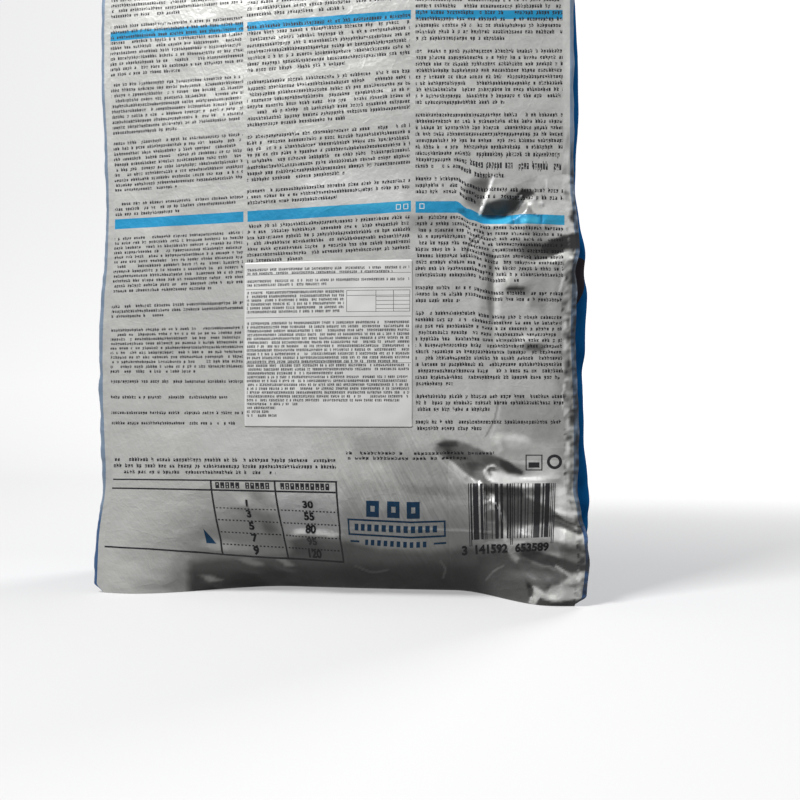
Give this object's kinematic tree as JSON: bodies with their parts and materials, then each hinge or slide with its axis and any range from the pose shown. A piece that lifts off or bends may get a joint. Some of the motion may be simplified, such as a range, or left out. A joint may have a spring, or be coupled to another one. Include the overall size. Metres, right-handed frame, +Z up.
{
  "type": "pet food bag",
  "caption": "Filled side gusset bag of metallised film with sealed edge fins and a flat crimped top, standing on its folded base, with a paper label on the back.",
  "frame": {"origin": "on the floor under the middle of the bag", "axes": "+Z up along the bag's height to the top seal, +X across the main panels, -Y out of the back panel that carries the label"},
  "size_m": [0.3198, 0.1586, 0.585],
  "materials": {
    "bag_film": "metallised film, satin, with printed fields",
    "label_paper": "matt white label stock"
  },
  "bodies": {
    "root": {"bag": "bag_film", "ingredient_label": "label_paper"}
  },
  "joints": []
}
